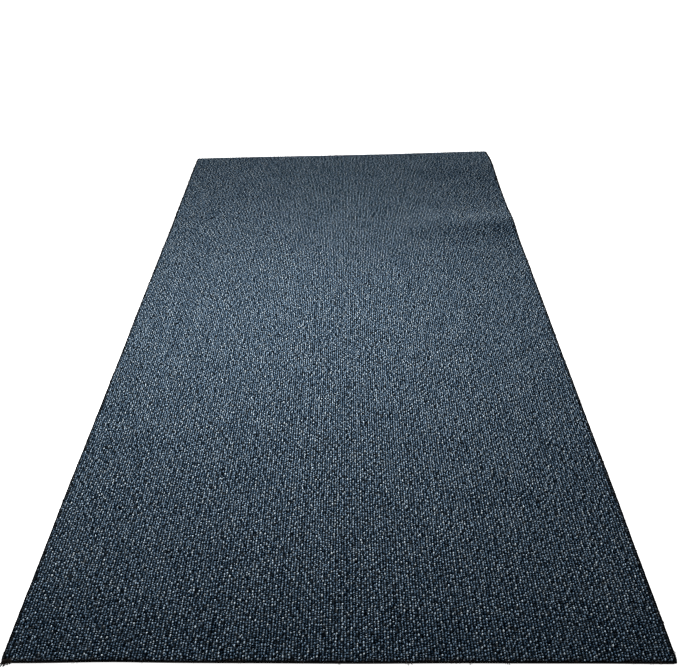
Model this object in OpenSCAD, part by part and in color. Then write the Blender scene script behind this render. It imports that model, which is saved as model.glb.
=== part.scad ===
// Desk chair mat: a low loop-pile textile mat with a rubber anti-slip back.
// It lies flat on the floor, and an office chair rolls on its pile.
// Origin: the middle of the underside, on the floor. X runs across the rows of
// loops, Y runs along them, away from the near short edge, and Z is up.
// The layers lie face to face: rubber back, latex coat, primary cloth, loop pile.

/* [Mat] */
// Width of the mat, across the rows of loops
mat_width = 900; // [600:10:1200]
// Length of the mat, along the rows of loops
mat_length = 1800; // [1200:10:2400]
// Radius of the four cut corners
corner_radius = 4; // [2:0.5:12]

/* [Layers] */
// Thickness of the rubber sheet that grips the floor
back_thickness = 1.4; // [1:0.1:3]
// Thickness of the latex coat that locks the back stitches
latex_thickness = 0.5; // [0.3:0.1:1]
// Thickness of the woven cloth that the yarn is tufted through
cloth_thickness = 0.5; // [0.3:0.1:1]
// Height of the loops above the cloth
pile_height = 2.6; // [2:0.1:4]

/* [Rows of loops] */
// Distance from one row of loops to the next
row_pitch = 4.15; // [3:0.05:6]
// Width of the yarn in one row
row_width = 3.75; // [2.8:0.05:4]
// Height up to which the feet of neighbouring rows are packed together
packed_height = 0.7; // [0.4:0.1:1]
// How far the outer loops stand in from the cut edge
pile_inset = 1.2; // [0.5:0.1:3]

/* [Hidden] */

latex_z = back_thickness;
cloth_z = latex_z + latex_thickness;
pile_z = cloth_z + cloth_thickness;

pile_width = mat_width - 2 * pile_inset;
pile_length = mat_length - 2 * pile_inset;
row_count = floor((pile_width - row_width) / row_pitch) + 1;
first_row_x = -(row_count - 1) * row_pitch / 2;
crown_radius = row_width / 2;

// A flat layer of the mat's whole outline, with its lower face at height z.
module layer(z, thickness) {
    translate([0, 0, z])
        linear_extrude(thickness)
            cut_outline();
}

// The mat's outline: a rectangle with four rounded corners.
module cut_outline() {
    square([mat_width, mat_length - 2 * corner_radius], center = true);
    square([mat_width - 2 * corner_radius, mat_length], center = true);
    for (x = [-1, 1], y = [-1, 1])
        translate([x * (mat_width / 2 - corner_radius), y * (mat_length / 2 - corner_radius)])
            circle(corner_radius, $fn = 48);
}

// One row of loops seen from its end: upright sides under a round crown.
module row_profile() {
    intersection() {
        union() {
            translate([0, pile_height - crown_radius])
                circle(crown_radius, $fn = 24);
            translate([-crown_radius, 0])
                square([row_width, pile_height - crown_radius]);
        }
        translate([-crown_radius, 0])
            square([row_width, pile_height]);
    }
}

// All rows side by side, joined at their packed feet.
module pile_profile() {
    translate([-pile_width / 2, 0])
        square([pile_width, packed_height]);
    for (row = [0 : row_count - 1])
        translate([first_row_x + row * row_pitch, 0])
            row_profile();
}

module anti_slip_back() {
    color("#26241f")
        layer(0, back_thickness);
}

module latex_coat() {
    color("#33312d")
        layer(latex_z, latex_thickness);
}

module primary_cloth() {
    color("#2c2f33")
        layer(cloth_z, cloth_thickness);
}

module loop_pile() {
    color("#4a5a6b")
        translate([0, pile_length / 2, pile_z])
            rotate([90, 0, 0])
                linear_extrude(pile_length)
                    pile_profile();
}

anti_slip_back();
latex_coat();
primary_cloth();
loop_pile();
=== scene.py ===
"""Looks of the desk chair mat: a ribbed loop pile on woven cloth, latex and a rubber anti-slip back.

Every layer is one closed mesh, or one per patch for the pile, and all of them follow the same gentle
lift of a mat that was unrolled a while ago. Lengths are in metres, in the frame of the CAD part:
X across the rows of loops, Y along them, Z up.
"""
import math

import bpy
import numpy as np
from mathutils import Matrix, Vector


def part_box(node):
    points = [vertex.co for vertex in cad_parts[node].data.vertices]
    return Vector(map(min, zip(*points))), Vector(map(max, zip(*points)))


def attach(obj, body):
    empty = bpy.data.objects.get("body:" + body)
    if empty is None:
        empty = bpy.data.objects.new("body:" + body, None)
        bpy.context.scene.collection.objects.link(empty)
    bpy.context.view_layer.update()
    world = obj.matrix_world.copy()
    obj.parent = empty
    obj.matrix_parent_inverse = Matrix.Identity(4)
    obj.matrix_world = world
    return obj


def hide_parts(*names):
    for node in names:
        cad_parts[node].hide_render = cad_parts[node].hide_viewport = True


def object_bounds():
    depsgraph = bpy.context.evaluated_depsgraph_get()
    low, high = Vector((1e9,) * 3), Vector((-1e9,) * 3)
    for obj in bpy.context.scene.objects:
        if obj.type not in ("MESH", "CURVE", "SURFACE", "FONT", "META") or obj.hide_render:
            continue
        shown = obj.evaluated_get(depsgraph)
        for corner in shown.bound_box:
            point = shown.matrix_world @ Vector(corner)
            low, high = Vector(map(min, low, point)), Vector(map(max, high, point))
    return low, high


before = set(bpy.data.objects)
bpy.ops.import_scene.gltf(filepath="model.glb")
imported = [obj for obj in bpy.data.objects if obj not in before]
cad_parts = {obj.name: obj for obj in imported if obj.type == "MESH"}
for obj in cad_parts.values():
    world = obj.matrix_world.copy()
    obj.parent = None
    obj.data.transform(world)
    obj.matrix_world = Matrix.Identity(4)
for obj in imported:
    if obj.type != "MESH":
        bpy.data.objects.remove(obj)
CAD_LOW, CAD_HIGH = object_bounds()
HALF_WIDTH = CAD_HIGH.x
HALF_LENGTH = CAD_HIGH.y

# The loop pile: its rows, and the rings of points across them
ROW_PITCH = 0.00415
RING_STEP = 0.0011
PATCHES_ACROSS = 4
PATCHES_ALONG = 4
ROWS_PER_FLOOR_FACE = 6

# A loop: its rings and their shares, its lean and width in pitches, and heights as shares of the pile's
LOOP_RINGS = (3, 4, 5)
LOOP_SHARES = (0.42, 0.36, 0.22)
WAIST_RINGS = 2
LEAN_SPREAD = 0.15
CROWN_HALF = 0.14
CROWN_GROWTH = 0.09
SUNK_SHARE = 0.04
GAP_HEIGHT = 0.06
SHOULDER_HEIGHT = 0.66
WAIST_HEIGHT = 0.32

# Tones from 0, navy, to 1, light: how much they differ by loop, by ring, by row and by point
MIDDLE_TONE = 0.63
LOOP_TONES = 0.10
RING_TONES = 0.13
ROW_TONES = 0.015
POINT_TONES = 0.20
EVENNESS = 0.35
# Painted shade and light by slope: the tone drops where the mat rises towards the far end and grows where it
# falls
SLOPE_PAINTED_SHADE = 0.7

# Painted shade on the pile's shoulders, as the share of light they keep, and how far in from the cut its rim
# is stained
SHOULDER_PAINTED_LIGHT = 0.13
RIM_WIDTH = 0.0090

# The flat layers
CORNER_RADIUS = 0.004
GRIP_RELIEF = 0.0003

# How the mat lies
CORNER_LIFT = 0.0062
CORNER_PULL = 0.0037
RIPPLE_HEIGHT = 0.0086
RIPPLE_PLACE = 0.4076
RIPPLE_SLANT = 0.10
RIPPLE_REACH = 0.065
SAG = 0.0005
EDGE_DENT = 0.0016
END_BOW = 0.0026

# The threads that stand out of the cut edge
THREADS_PER_METRE = 230
CORNER_THREADS = 130
THREAD_RADIUS = 0.00032
LONGEST_THREAD = 0.0125

rng = np.random.default_rng(31)


# ---- how the mat lies -------------------------------------------------------------------------------

def bell(distance, reach):
    """A soft hump: 1 where distance is 0, and fading out over reach."""
    return np.exp(-((distance / reach) ** 2))


def ease(value, low, high):
    """A smooth step from 0 at low to 1 at high."""
    t = np.clip((value - low) / (high - low), 0.0, 1.0)
    return t * t * (3.0 - 2.0 * t)


def local_mean(values, across, along):
    """The mean over a block that reaches so many places across and along from each place of a grid."""
    for axis, reach in enumerate((across, along)):
        values = sum(np.roll(values, shift, axis) for shift in range(-reach, reach + 1)) / (2 * reach + 1)
    return values


def lift(x, y):
    """How far the mat stands off the floor at a point of its flat cut."""
    corner = CORNER_LIFT * bell(HALF_WIDTH - x, 0.22) * bell(HALF_LENGTH - 0.09 - y, 0.13)
    ripple_line = RIPPLE_PLACE - RIPPLE_SLANT * (HALF_WIDTH - x)
    ripple = RIPPLE_HEIGHT * ease(x, 0.05, HALF_WIDTH) * bell(y - ripple_line, RIPPLE_REACH)
    sag = SAG * (1.0 + np.sin(7.1 * x + 1.3) * np.sin(5.3 * y + 0.4))
    return corner + ripple + sag * ease(np.abs(x), 0.0, 0.2)


def lay(points):
    """Takes points of the flat cut to where they lie.

    The edges waver, the near edge has a dent, the far end bows and its lifted corner is drawn in.
    """
    x, y, z = points[:, 0], points[:, 1], points[:, 2]
    across, along = x / HALF_WIDTH, y / HALF_LENGTH
    waver_x = 0.0004 * np.sin(9.0 * y + 0.7) + 0.0002 * np.sin(23.0 * y + 2.0)
    waver_y = 0.0002 * np.sin(13.0 * x + 1.1) + 0.0001 * np.sin(31.0 * x)
    pulled_in = CORNER_PULL * bell(HALF_LENGTH - y, 0.05) * ease(x, 0.25, HALF_WIDTH)
    dent = EDGE_DENT * bell(x + 0.31, 0.07) * bell(HALF_LENGTH + y, 0.10)
    bow = END_BOW * (1.0 - 2.0 * across**2) * ease(along, 0.0, 1.0)
    laid = points.copy()
    laid[:, 0] = x + across * waver_x - pulled_in
    laid[:, 1] = y + along * waver_y + bow + dent
    laid[:, 2] = z + lift(x, y)
    return laid


# ---- meshes -----------------------------------------------------------------------------------------

def make_piece(name, points, quads, ngons, smooth_quads):
    """A mesh object from numpy arrays. The first smooth_quads quads are shaded smooth."""
    corners = np.concatenate([quads.ravel(), *[np.asarray(n) for n in ngons]]).astype(np.int32)
    sizes = np.array([4] * len(quads) + [len(n) for n in ngons])
    mesh = bpy.data.meshes.new(name)
    mesh.vertices.add(len(points))
    mesh.vertices.foreach_set("co", points.astype(np.float32).ravel())
    mesh.loops.add(len(corners))
    mesh.loops.foreach_set("vertex_index", corners)
    mesh.polygons.add(len(sizes))
    starts = np.concatenate([[0], np.cumsum(sizes)[:-1]]).astype(np.int32)
    mesh.polygons.foreach_set("loop_start", starts)
    mesh.polygons.foreach_set("use_smooth", np.arange(len(sizes)) < smooth_quads)
    mesh.update(calc_edges=True)
    piece = bpy.data.objects.new(name, mesh)
    bpy.context.scene.collection.objects.link(piece)
    return piece


def grid_quads(columns, rings, start=0):
    """Quads of a grid whose point (column, ring) is start + column * rings + ring, facing up."""
    column, ring = np.meshgrid(np.arange(columns - 1), np.arange(rings - 1), indexing="ij")
    low = (start + column * rings + ring).ravel()
    return np.stack([low, low + rings, low + rings + 1, low + 1], axis=1)


def finish_piece(piece, material, slot, *nodes):
    """Gives a piece its material and the body it rides on, and hides the CAD nodes it stands for. slot is
    not used.
    """
    piece.data.materials.append(material)
    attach(piece, "root")
    if nodes:
        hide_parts(*nodes)
    return piece


def rounded_plan(half_width, half_length, step):
    """A grid of plan points whose corners are drawn in onto arcs of CORNER_RADIUS."""
    x, y = np.meshgrid(
        np.linspace(-half_width, half_width, int(round(2 * half_width / step)) + 1),
        np.linspace(-half_length, half_length, int(round(2 * half_length / step)) + 1),
        indexing="ij",
    )
    inner_x, inner_y = half_width - CORNER_RADIUS, half_length - CORNER_RADIUS
    past_x, past_y = np.maximum(np.abs(x) - inner_x, 0), np.maximum(np.abs(y) - inner_y, 0)
    over = np.hypot(past_x, past_y)
    pull = np.where(over > CORNER_RADIUS, CORNER_RADIUS / np.maximum(over, 1e-9), 1.0)
    x = np.sign(x) * np.where(past_x > 0, inner_x + past_x * pull, np.abs(x))
    y = np.sign(y) * np.where(past_y > 0, inner_y + past_y * pull, np.abs(y))
    return x, y


def layer_piece(name, node, step, relief=0.0, fray=0.0):
    """One flat layer as a closed slab with rounded corners and cut edges.

    Its underside can have a grip relief, and its cut can be frayed. The attribute sole is 1 on the
    underside and 0 on the top and round the cut.
    """
    low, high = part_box(node)
    x, y = rounded_plan(high.x, high.y, step)
    columns, rings = x.shape
    inner_x, inner_y = high.x - CORNER_RADIUS, high.y - CORNER_RADIUS
    on_edge = np.zeros(x.shape, bool)
    on_edge[[0, -1], :] = True
    on_edge[:, [0, -1]] = True
    inward = fray * rng.random(x.shape) * on_edge
    x = x - np.sign(x) * inward * (np.abs(x) > inner_x)
    y = y - np.sign(y) * inward * (np.abs(y) > inner_y)
    checker = (np.add.outer(np.arange(columns), np.arange(rings)) % 2).astype(float)
    bottom_z = low.z + relief * checker * ~on_edge
    top = np.stack([x.ravel(), y.ravel(), np.full(x.size, high.z)], axis=1)
    bottom = np.stack([x.ravel(), y.ravel(), bottom_z.ravel()], axis=1)
    count = columns * rings
    index = np.arange(count).reshape(columns, rings)
    border = np.concatenate([index[:-1, 0], index[-1, :-1], index[:0:-1, -1], index[0, :0:-1]])
    after = np.roll(border, -1)
    walls = np.stack([border + count, after + count, after, border], axis=1)
    up = grid_quads(columns, rings)
    down = grid_quads(columns, rings, count)[:, ::-1]
    points = lay(np.concatenate([top, bottom]))
    piece = make_piece(name, points, np.concatenate([up, down, walls]), [], 0)
    sole = np.concatenate([np.zeros(count), ~on_edge.ravel()]).astype(np.float32)
    piece.data.attributes.new("sole", "FLOAT", "POINT").data.foreach_set("value", sole)
    return piece


# ---- the loop pile ----------------------------------------------------------------------------------

class Pile:
    """Every loop's place, height and tone, worked out once for the whole mat.

    A row takes four columns of points: the gap on its left, its left shoulder, its crown and its right
    shoulder. One last gap closes the pile. Each column has a point every RING_STEP along the row.
    """

    def __init__(self):
        self.low, self.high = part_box("loop_pile")
        width = self.high.x - self.low.x
        self.rows = int((width - 0.9 * ROW_PITCH) / ROW_PITCH) + 1
        self.rings = int((self.high.y - self.low.y) / RING_STEP) + 1
        shape = (self.rows, self.rings)
        self.swell, self.lean, self.tone, self.open = (np.zeros(shape) for _ in range(4))
        self.row_before = np.zeros(self.rings)
        for row in range(self.rows):
            self.fill_row(row)
        self.place_columns()

    def fill_row(self, row):
        """One row: its loops, each with its own length, height, lean and tone.

        A loop starts with a low waist of WAIST_RINGS and is highest at the ring after the next. Its
        tone goes against the loop's before it and the row's before it, so light loops don't clump.
        """
        lengths = rng.choice(LOOP_RINGS, self.rings, p=LOOP_SHARES)
        starts = np.cumsum(lengths) - lengths[0] + rng.integers(-2, 1)
        loop = np.searchsorted(starts, np.arange(self.rings), side="right")
        place = np.arange(self.rings) - starts[loop - 1]
        waist = place < WAIST_RINGS
        crest = np.where(waist, WAIST_HEIGHT, np.where(place == WAIST_RINGS + 1, 1.0, 0.93))
        height = rng.uniform(0.78, 1.07, self.rings + 1)[loop]
        self.swell[row] = np.minimum(crest * height, 1.0)
        self.lean[row] = rng.normal(0.0, LEAN_SPREAD, self.rings + 1)[loop] * ~waist
        by_loop = rng.normal(0.0, LOOP_TONES, self.rings + 1)
        by_loop[1:] -= 0.3 * by_loop[:-1]
        tone = by_loop[loop] + rng.normal(0.0, RING_TONES, self.rings) + rng.normal(0.0, ROW_TONES)
        self.tone[row] = MIDDLE_TONE + tone - 0.45 * self.row_before
        self.row_before = tone
        sunk = rng.random(self.rings + 1) < SUNK_SHARE
        self.swell[row] *= np.where(sunk[loop], 0.7, 1.0)
        # Painted shade: a waist keeps 0.03 of its light and a sunk loop 0.10.
        self.open[row] = np.where(waist, 0.03, np.where(sunk[loop], 0.10, 1.0))

    def place_columns(self):
        """Turns the rows into columns of points, with the tone and the painted light of each point.

        The painted light is the share of its light that a point keeps. It paints the shade between packed
        loops, which the mesh is too coarse to cast: 1 on a crown, less on a shoulder and 0 in a gap.
        """
        shape = (4 * self.rows + 1, self.rings)
        x, z, self.point_tone, self.point_open = (np.zeros(shape) for _ in range(4))
        middle = (np.arange(self.rows) - (self.rows - 1) / 2)[:, None]
        crown = ROW_PITCH * (middle + self.lean)
        half = ROW_PITCH * (CROWN_HALF + CROWN_GROWTH * self.swell)
        x[1::4], x[2::4], x[3::4] = crown - half, crown, crown + half
        x[0::4] = ROW_PITCH * (np.arange(self.rows + 1) - self.rows / 2)[:, None]
        x[4:-1:4] += 0.3 * ROW_PITCH * (self.lean[:-1] + self.lean[1:])
        z[0::4] = GAP_HEIGHT + rng.uniform(0.0, 0.06, (self.rows + 1, self.rings))
        z[1::4], z[2::4], z[3::4] = SHOULDER_HEIGHT * self.swell, self.swell, SHOULDER_HEIGHT * self.swell
        # Painted shade: a crown keeps all its light, a shoulder only a share of it and a gap none.
        for side in (1, 2, 3):
            self.point_tone[side::4] = self.tone
            self.point_open[side::4] = self.open if side == 2 else SHOULDER_PAINTED_LIGHT * self.open
        # Painted shade: a gap's tone is 0.1 below its row's.
        self.point_tone[0:-1:4], self.point_tone[-1] = self.tone - 0.1, self.tone[-1] - 0.1
        self.point_tone += rng.normal(0.0, POINT_TONES, shape)
        self.even_out()
        y = np.linspace(self.low.y, self.high.y, self.rings) + rng.normal(0.0, 0.12 * RING_STEP, shape)
        y[:, [0, -1]] = self.low.y, self.high.y
        y[:, [0, -1]] += rng.uniform(0.0, 0.0005, (len(y), 2)) * [1, -1]
        z *= 1.0 - 0.6 * self.shade(x, y)
        self.points = np.stack([x, y, self.low.z + (self.high.z - self.low.z) * z], axis=2)

    def even_out(self):
        """Darkens patches of loops that came out lighter than the rest, and lightens darker ones."""
        light = local_mean(self.open * self.point_tone[2::4], 1, 4)
        excess = EVENNESS * (light - light.mean()) / self.open.mean()
        self.point_tone -= np.concatenate([np.repeat(excess, 4, axis=0), excess[-1:]])

    def shade(self, x, y):
        """Paints shade on the pile at the cut, towards the near end and on slopes that face the near end,
        and paints light on slopes that face away.

        Gives back how close each point is to the brink, where the outermost loops are cut and low.
        """
        beside, at_end = HALF_WIDTH - np.abs(x), HALF_LENGTH - np.abs(y)
        brink = 1.0 - np.minimum(ease(beside, 0.0034, 0.0050), ease(at_end, 0.0006, 0.0024))
        self.point_rim = 1.0 - np.minimum(ease(beside, 0.0030, RIM_WIDTH), ease(at_end, 0.0010, RIM_WIDTH))
        # Painted shade on the outermost loops at the cut, which lose up to 0.9 of their light.
        self.point_open *= 1.0 - 0.9 * brink
        slope = (lift(x, y + RING_STEP) - lift(x, y - RING_STEP)) / (2 * RING_STEP)
        # Painted shade: the tone drops by up to 0.05 over the nearest 0.16 m of the mat.
        self.point_tone -= 0.05 * (1.0 - ease(HALF_LENGTH + y, 0.0, 0.16))
        # Painted shade on slopes that face the near end, painted light on slopes that face away.
        self.point_tone -= SLOPE_PAINTED_SHADE * slope
        return brink

    def patch(self, across, along):
        """One patch of the pile as a closed mesh: whole rows in X, a stretch of them in Y."""
        cut_x = 4 * np.linspace(0, self.rows, PATCHES_ACROSS + 1).astype(int)
        cut_y = np.linspace(0, self.rings - 1, PATCHES_ALONG + 1).astype(int)
        area = (slice(cut_x[across], cut_x[across + 1] + 1), slice(cut_y[along], cut_y[along + 1] + 1))
        top = self.points[area]
        columns, rings = top.shape[:2]
        under = np.unique(np.append(np.arange(0, columns, 4 * ROWS_PER_FLOOR_FACE), columns - 1))
        foot = top[under].copy()
        foot[:, :, 2] = self.low.z
        base, last = columns * rings, rings * (columns - 1)
        side = np.arange(rings)
        foot_right = base + rings * (len(under) - 1)
        left_wall = np.stack([side[:-1], side[1:], base + side[1:], base + side[:-1]], axis=1)
        right_wall = np.stack([last + side[1:], last + side[:-1],
                               foot_right + side[:-1], foot_right + side[1:]], axis=1)
        near_end = [*(base + rings * np.arange(len(under))), *(rings * np.arange(columns)[::-1])]
        far_end = [*(rings * np.arange(columns) + rings - 1),
                   *(base + rings * np.arange(len(under))[::-1] + rings - 1)]
        surface = grid_quads(columns, rings)
        floor = grid_quads(len(under), rings, base)[:, ::-1]
        piece = make_piece(
            f"loop_pile_{along + 1}_{across + 1}",
            lay(np.concatenate([top.reshape(-1, 3), foot.reshape(-1, 3)])),
            np.concatenate([surface, left_wall, right_wall, floor]), [near_end, far_end], len(surface),
        )
        hidden = np.zeros(len(under) * rings)
        for name, values in (("loop_tone", self.point_tone), ("pile_open", self.point_open),
                             ("pile_rim", self.point_rim)):
            data = piece.data.attributes.new(name, "FLOAT", "POINT").data
            data.foreach_set("value", np.append(values[area].ravel(), hidden).astype(np.float32))
        return piece


# ---- the cut edge -----------------------------------------------------------------------------------

def edge_starts():
    """Where threads leave the cut: their starts, the ways they point and their lengths.

    Along the edges they stand in tufts, and the near left corner has a thicker, longer wisp.
    """
    starts, ways, lengths = [], [], []
    for way in ((0, -1), (0, 1), (-1, 0), (1, 0)):
        way = np.array(way)
        half_side = HALF_LENGTH if way[0] else HALF_WIDTH
        count = int(2 * half_side * THREADS_PER_METRE)
        tuft = rng.integers(0, count // 4, count)
        place = half_side * rng.uniform(-0.99, 0.99, count)[tuft] + rng.normal(0.0, 0.0009, count)
        along = place[:, None] * np.abs(way[::-1])
        starts.append(along + way * (np.array([HALF_WIDTH, HALF_LENGTH]) - 0.0016))
        ways.append(way + rng.normal(0.0, 0.5, (count, 2)) * np.abs(way[::-1]))
        lengths.append((rng.gamma(2.0, 0.0008, count)[tuft] + 0.0014) * rng.uniform(0.7, 1.0, count))
    corner = np.array([-HALF_WIDTH, -HALF_LENGTH]) + [0.0012, 0.0030]
    place = rng.uniform(0.0, 1.0, CORNER_THREADS)
    starts.append(corner + place[:, None] * [0.013, 0.0] + rng.uniform(0.0, 0.0015, (CORNER_THREADS, 2)))
    ways.append(np.array([-0.1, -1.0]) + rng.normal(0.0, 0.2, (CORNER_THREADS, 2)))
    lengths.append(rng.uniform(0.0070, LONGEST_THREAD, CORNER_THREADS) * (1.0 - 0.6 * place))
    return np.concatenate(starts), np.concatenate(ways), np.minimum(np.concatenate(lengths), LONGEST_THREAD)


def edge_threads():
    """Every thread as a tapered tube that leaves the cut and droops."""
    sides, rings = 5, 6
    starts, ways, lengths = edge_starts()
    count = len(starts)
    ways = ways / np.linalg.norm(ways, axis=1)[:, None]
    beside = ways[:, ::-1] * [1, -1]
    t = np.linspace(0.0, 1.0, rings)
    sway = rng.normal(0.0, 0.25, count) * lengths
    middle = (starts[:, None] + ways[:, None] * (lengths[:, None] * t)[:, :, None]
              + beside[:, None] * (sway[:, None] * t**2)[:, :, None])
    top = rng.uniform(0.0018, 0.0042, count)
    height = np.maximum(top[:, None] - 0.7 * lengths[:, None] * t**2, 0.0006)
    radius = (THREAD_RADIUS * rng.uniform(0.7, 1.4, count))[:, None] * (1.0 - 0.55 * t)
    turn = 2 * math.pi * np.arange(sides) / sides
    points = np.zeros((count, rings, sides, 3))
    sideways = (radius[..., None] * np.cos(turn))[..., None]
    points[..., :2] = middle[:, :, None] + beside[:, None, None] * sideways
    points[..., 2] = height[:, :, None] + radius[..., None] * np.sin(turn)
    thread, ring, side = np.meshgrid(np.arange(count), np.arange(rings - 1), np.arange(sides), indexing="ij")
    low = thread * rings * sides + ring * sides
    near, after = low + side, low + (side + 1) % sides
    quads = np.stack([near, near + sides, after + sides, after], axis=-1).reshape(-1, 4)
    caps = []
    for first in range(0, count * rings * sides, rings * sides):
        caps.append(first + np.arange(sides))
        caps.append(first + (rings - 1) * sides + np.arange(sides)[::-1])
    return make_piece("cut_edge_threads", lay(points.reshape(-1, 3)), quads, caps, len(quads))


# ---- materials --------------------------------------------------------------------------------------

class Nodes:
    """A material's node tree with short calls for making and linking its nodes."""

    def __init__(self, name):
        self.material = bpy.data.materials.new(name)
        self.material.use_nodes = True
        self.tree = self.material.node_tree
        self.shader = self.tree.nodes["Principled BSDF"]
        self.place = self.add("ShaderNodeTexCoord").outputs["Object"]

    def add(self, kind, **settings):
        """A new node with its settings."""
        node = self.tree.nodes.new(kind)
        for name, value in settings.items():
            setattr(node, name, value)
        return node

    def feed(self, socket, value):
        """Links value into socket if it is a socket, or sets it as the socket's own number."""
        if isinstance(value, bpy.types.NodeSocket):
            self.tree.links.new(value, socket)
        else:
            socket.default_value = value

    def math(self, operation, a, b=0.0, clamp=False):
        """The result of an operation on two values, each a socket or a number."""
        node = self.add("ShaderNodeMath", operation=operation, use_clamp=clamp)
        self.feed(node.inputs[0], a)
        self.feed(node.inputs[1], b)
        return node.outputs[0]

    def noise(self, scale, detail=2.0, stretch=(1, 1, 1), roughness=0.5):
        """Noise in the object's own metres."""
        mapping = self.add("ShaderNodeMapping")
        self.feed(mapping.inputs["Vector"], self.place)
        mapping.inputs["Scale"].default_value = stretch
        node = self.add("ShaderNodeTexNoise")
        self.feed(node.inputs["Vector"], mapping.outputs[0])
        node.inputs["Scale"].default_value = scale
        node.inputs["Detail"].default_value = detail
        node.inputs["Roughness"].default_value = roughness
        return node.outputs["Fac"]

    def attribute(self, name):
        """A value that the mesh carries on its points."""
        return self.add("ShaderNodeAttribute", attribute_name=name).outputs["Fac"]

    def ramp(self, value, stops):
        """A colour ramp over value, from (position, colour) stops."""
        node = self.add("ShaderNodeValToRGB")
        self.feed(node.inputs["Fac"], value)
        elements = node.color_ramp.elements
        while len(elements) < len(stops):
            elements.new(0.5)
        for element, (position, colour) in zip(elements, stops):
            element.position = position
            element.color = (*colour, 1.0)
        return node.outputs["Color"]

    def range(self, value, low, high, to_low, to_high):
        """The value taken from low..high to to_low..to_high and kept inside it."""
        node = self.add("ShaderNodeMapRange")
        self.feed(node.inputs["Value"], value)
        for name, number in zip(("From Min", "From Max", "To Min", "To Max"), (low, high, to_low, to_high)):
            node.inputs[name].default_value = number
        return node.outputs["Result"]

    def tint(self, colour, factor):
        """The colour darkened or lightened by a factor that varies over the surface."""
        node = self.add("ShaderNodeVectorMath", operation="SCALE")
        self.feed(node.inputs[0], colour)
        self.feed(node.inputs["Scale"], factor)
        return node.outputs[0]

    def blend(self, share, colour, other):
        """The colour mixed towards a fixed other one by a share that varies over the surface."""
        node = self.add("ShaderNodeMix", data_type="RGBA")
        self.feed(node.inputs["Factor"], share)
        self.feed(node.inputs["A"], colour)
        node.inputs["B"].default_value = (*other, 1.0)
        return node.outputs["Result"]

    def bump(self, height, distance, strength=1.0):
        """Bumps the shader's normal by a height that varies over the surface."""
        node = self.add("ShaderNodeBump")
        node.inputs["Strength"].default_value = strength
        node.inputs["Distance"].default_value = distance
        self.feed(node.inputs["Height"], height)
        self.feed(self.shader.inputs["Normal"], node.outputs[0])


def yarn_material():
    """Heathered textured yarn: navy and blue-grey filaments with light ones, stained at the cut."""
    n = Nodes("heather_yarn")
    fibre = n.noise(1100.0, 3.0, (1.0, 0.5, 1.0), 0.6)
    filament = n.noise(520.0, 2.0, (1.0, 0.7, 1.0))
    cloud = n.noise(16.0, 2.0)
    # The loop tone holds the loops' own tones, with painted shade towards the near end and painted shade and
    # light on slopes.
    tone = n.attribute("loop_tone")
    tone = n.math("ADD", tone, n.range(fibre, 0.25, 0.75, -0.16, 0.16))
    tone = n.math("ADD", tone, n.range(filament, 0.3, 0.7, -0.10, 0.10))
    tone = n.math("ADD", tone, n.range(cloud, 0.3, 0.7, -0.03, 0.03), clamp=True)
    colour = n.ramp(tone, (
        (0.00, (0.0010, 0.0036, 0.0085)),
        (0.25, (0.0090, 0.0250, 0.0480)),
        (0.50, (0.0740, 0.1310, 0.2020)),
        (0.70, (0.2200, 0.3280, 0.4500)),
        (0.85, (0.4400, 0.5850, 0.7350)),
        (1.00, (0.7600, 0.8800, 0.9500)),
    ))
    stain = n.range(n.noise(90.0, 2.0), 0.42, 0.60, 0.0, 0.8)
    rim = n.math("MULTIPLY", n.attribute("pile_rim"), stain, clamp=True)
    colour = n.blend(rim, colour, (0.075, 0.068, 0.066))
    # Painted shade: the colour is scaled from 0.01 in the gaps up to 1 on the crowns, less on shoulders,
    # waists, sunk loops and the outermost loops at the cut.
    colour = n.tint(colour, n.range(n.attribute("pile_open"), 0.0, 1.0, 0.01, 1.0))
    n.feed(n.shader.inputs["Base Color"], colour)
    n.feed(n.shader.inputs["Roughness"], n.range(fibre, 0.3, 0.7, 0.80, 0.98))
    n.shader.inputs["Specular IOR Level"].default_value = 0.0
    n.shader.inputs["Sheen Weight"].default_value = 0.005
    n.shader.inputs["Sheen Roughness"].default_value = 0.5
    n.shader.inputs["Sheen Tint"].default_value = (0.62, 0.76, 0.90, 1.0)
    n.bump(fibre, 0.0004, 0.8)
    return n.material


def cloth_material():
    """Black slit-film cloth, plain woven from flat tapes."""
    n = Nodes("woven_tape_cloth")
    tapes = []
    for direction in ("X", "Y"):
        wave = n.add("ShaderNodeTexWave", wave_type="BANDS", bands_direction=direction)
        n.feed(wave.inputs["Vector"], n.place)
        wave.inputs["Scale"].default_value = 210.0
        wave.inputs["Distortion"].default_value = 0.4
        tapes.append(wave.outputs["Fac"])
    weave = n.math("MAXIMUM", tapes[0], tapes[1])
    dirt = n.noise(160.0, 3.0)
    shade = n.math("MULTIPLY", weave, n.range(dirt, 0.3, 0.7, 0.7, 1.0))
    # The colour is darker than the cloth's own black: partly grime, partly painted shade along the cut edge.
    n.feed(n.shader.inputs["Base Color"], n.ramp(shade, (
        (0.0, (0.0015, 0.0015, 0.0018)),
        (1.0, (0.0040, 0.0042, 0.0050)),
    )))
    n.feed(n.shader.inputs["Roughness"], n.range(weave, 0.0, 1.0, 0.9, 0.75))
    n.shader.inputs["Specular IOR Level"].default_value = 0.03
    n.bump(weave, 0.0002)
    return n.material


def latex_material():
    """Dried latex, dull and almost black, with pinholes and a rough cut."""
    n = Nodes("dried_latex")
    grain = n.noise(500.0, 3.0)
    blotch = n.noise(40.0, 2.0)
    shade = n.math("ADD", n.math("MULTIPLY", grain, 0.6), n.math("MULTIPLY", blotch, 0.4))
    # The colour is darker than the latex's own: partly grime, partly painted shade along the cut edge.
    n.feed(n.shader.inputs["Base Color"], n.ramp(shade, (
        (0.30, (0.0020, 0.0020, 0.0020)),
        (0.70, (0.0070, 0.0065, 0.0060)),
    )))
    n.shader.inputs["Specular IOR Level"].default_value = 0.04
    n.feed(n.shader.inputs["Roughness"], n.range(grain, 0.3, 0.7, 0.65, 0.9))
    n.bump(grain, 0.0002)
    return n.material


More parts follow.
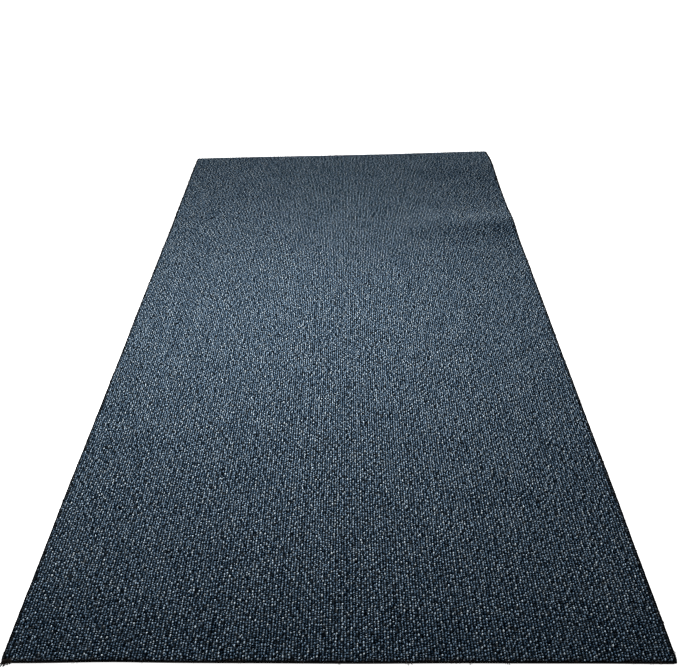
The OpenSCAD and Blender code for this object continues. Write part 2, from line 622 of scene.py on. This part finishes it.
def rubber_material():
    """Black rubber with a fine pebbled grip grain, greyer and dusty on the sole that lies on the floor."""
    n = Nodes("anti_slip_rubber")
    pebble = n.add("ShaderNodeTexVoronoi", feature="F1")
    n.feed(pebble.inputs["Vector"], n.place)
    pebble.inputs["Scale"].default_value = 650.0
    grain = n.noise(1500.0, 2.0)
    dust = n.noise(9.0, 4.0, roughness=0.65)
    # Painted shade: each pebble's colour darkens to 0.45 towards its edge, in the hollows between pebbles;
    # the dust term is the rubber's own.
    shade = n.math("MULTIPLY", n.range(pebble.outputs["Distance"], 0.0, 0.7, 1.0, 0.45),
                   n.range(dust, 0.35, 0.65, 0.8, 1.35))
    # Off the sole the colour is darker than the rubber's own grey: partly grime, partly painted shade at the
    # cut edge.
    colour = n.ramp(grain, (
        (0.3, (0.007, 0.007, 0.007)),
        (0.7, (0.014, 0.013, 0.012)),
    ))
    # The sole shows the rubber's own grey, varied by dust.
    sole_grey_share = n.math("MULTIPLY", n.attribute("sole"), n.range(dust, 0.35, 0.65, 0.6, 1.0), clamp=True)
    colour = n.blend(sole_grey_share, colour, (0.042, 0.041, 0.039))
    n.feed(n.shader.inputs["Base Color"], n.tint(colour, shade))
    n.shader.inputs["Specular IOR Level"].default_value = 0.12
    n.feed(n.shader.inputs["Roughness"], n.range(dust, 0.3, 0.7, 0.55, 0.8))
    n.bump(n.range(pebble.outputs["Distance"], 0.0, 0.7, 1.0, 0.0), 0.0003, 0.9)
    return n.material


def thread_material():
    """Cut yarn and tape ends, matted and stained by the latex, and darkened almost to black by painted
    shade.
    """
    n = Nodes("frayed_thread")
    n.feed(n.shader.inputs["Base Color"], n.ramp(n.noise(240.0, 3.0), (
        (0.35, (0.003, 0.003, 0.004)),
        (0.65, (0.026, 0.021, 0.018)),
    )))
    n.shader.inputs["Roughness"].default_value = 0.9
    n.shader.inputs["Specular IOR Level"].default_value = 0.05
    return n.material


def floor_material():
    """A plain pale floor that also glows, so that it is white wherever the lamps don't reach."""
    n = Nodes("pale_floor")
    n.feed(n.shader.inputs["Base Color"], n.ramp(n.noise(1.5, 2.0), (
        (0.3, (0.70, 0.70, 0.70)),
        (0.7, (0.73, 0.73, 0.73)),
    )))
    n.shader.inputs["Roughness"].default_value = 0.7
    n.shader.inputs["Emission Color"].default_value = (1.0, 1.0, 1.0, 1.0)
    n.shader.inputs["Emission Strength"].default_value = 1.0
    return n.material


# ---- stage ------------------------------------------------------------------------------------------

def add_floor():
    """One wide square, just under the mat so that the two don't touch."""
    size, drop = 60.0, 0.0002
    points = np.array([(-size, -size, -drop), (size, -size, -drop),
                       (size, size, -drop), (-size, size, -drop)])
    floor = make_piece("floor", points, np.array([[0, 1, 2, 3]]), [], 0)
    floor.data.materials.append(floor_material())


def add_light(name, place, aim, size, power, colour):
    """A soft rectangular lamp at place that shines towards aim."""
    lamp = bpy.data.lights.new(name, "AREA")
    lamp.shape = "RECTANGLE"
    lamp.size, lamp.size_y = size
    lamp.energy = power
    lamp.color = colour
    light = bpy.data.objects.new(name, lamp)
    bpy.context.scene.collection.objects.link(light)
    direction = np.array(aim) - np.array(place)
    light.rotation_euler = Vector(direction).to_track_quat("-Z", "Y").to_euler()
    light.location = place


def add_camera():
    """The camera stands before the near short edge and looks down along the mat.

    The photograph is cropped off its middle, so the lens is shifted a little sideways.
    """
    data = bpy.data.cameras.new("camera")
    data.sensor_width = 36.0
    data.lens = 44.658
    data.shift_x = 0.0235
    camera = bpy.data.objects.new("camera", data)
    bpy.context.scene.collection.objects.link(camera)
    turn = Matrix.Rotation(math.radians(2.5), 4, "Z")
    tilt = Matrix.Rotation(math.radians(90.0 - 33.33), 4, "X")
    roll = Matrix.Rotation(math.radians(-2.119), 4, "Z")
    camera.matrix_world = Matrix.Translation((0.0322, -HALF_LENGTH - 0.6922, 0.9794)) @ turn @ tilt @ roll
    bpy.context.scene.camera = camera


def add_lights():
    """Dim light all round, a soft lamp above the near half and a wide one beyond the far end."""
    world = bpy.data.worlds.new("studio")
    world.use_nodes = True
    world.node_tree.nodes["Background"].inputs["Color"].default_value = (0.97, 0.98, 1.0, 1.0)
    world.node_tree.nodes["Background"].inputs["Strength"].default_value = 0.13
    bpy.context.scene.world = world
    add_light("key", (-0.15, -0.15, 0.86), (-0.15, -0.15, 0.0), (0.7, 0.7), 23.7, (1.0, 1.0, 1.0))
    add_light("backdrop", (0.0, 3.4, 2.6), (0.0, 3.2, 0.0), (6.0, 2.0), 150.0, (1.0, 1.0, 1.0))


# ---- the object -------------------------------------------------------------------------------------

pile = Pile()
yarn = yarn_material()
for along in range(PATCHES_ALONG):
    for across in range(PATCHES_ACROSS):
        finish_piece(pile.patch(across, along), yarn, "pile_yarn", "loop_pile")

cloth = layer_piece("woven_cloth", "primary_cloth", 0.008, fray=0.0006)
finish_piece(cloth, cloth_material(), "woven_cloth", "primary_cloth")
latex = layer_piece("latex_layer", "latex_coat", 0.010, fray=0.0003)
finish_piece(latex, latex_material(), "latex", "latex_coat")
back = layer_piece("rubber_back", "anti_slip_back", 0.006, relief=GRIP_RELIEF)
finish_piece(back, rubber_material(), "rubber_back", "anti_slip_back")

finish_piece(edge_threads(), thread_material(), "pile_yarn")

add_floor()
add_camera()
add_lights()
bpy.context.scene.view_settings.view_transform = "Standard"
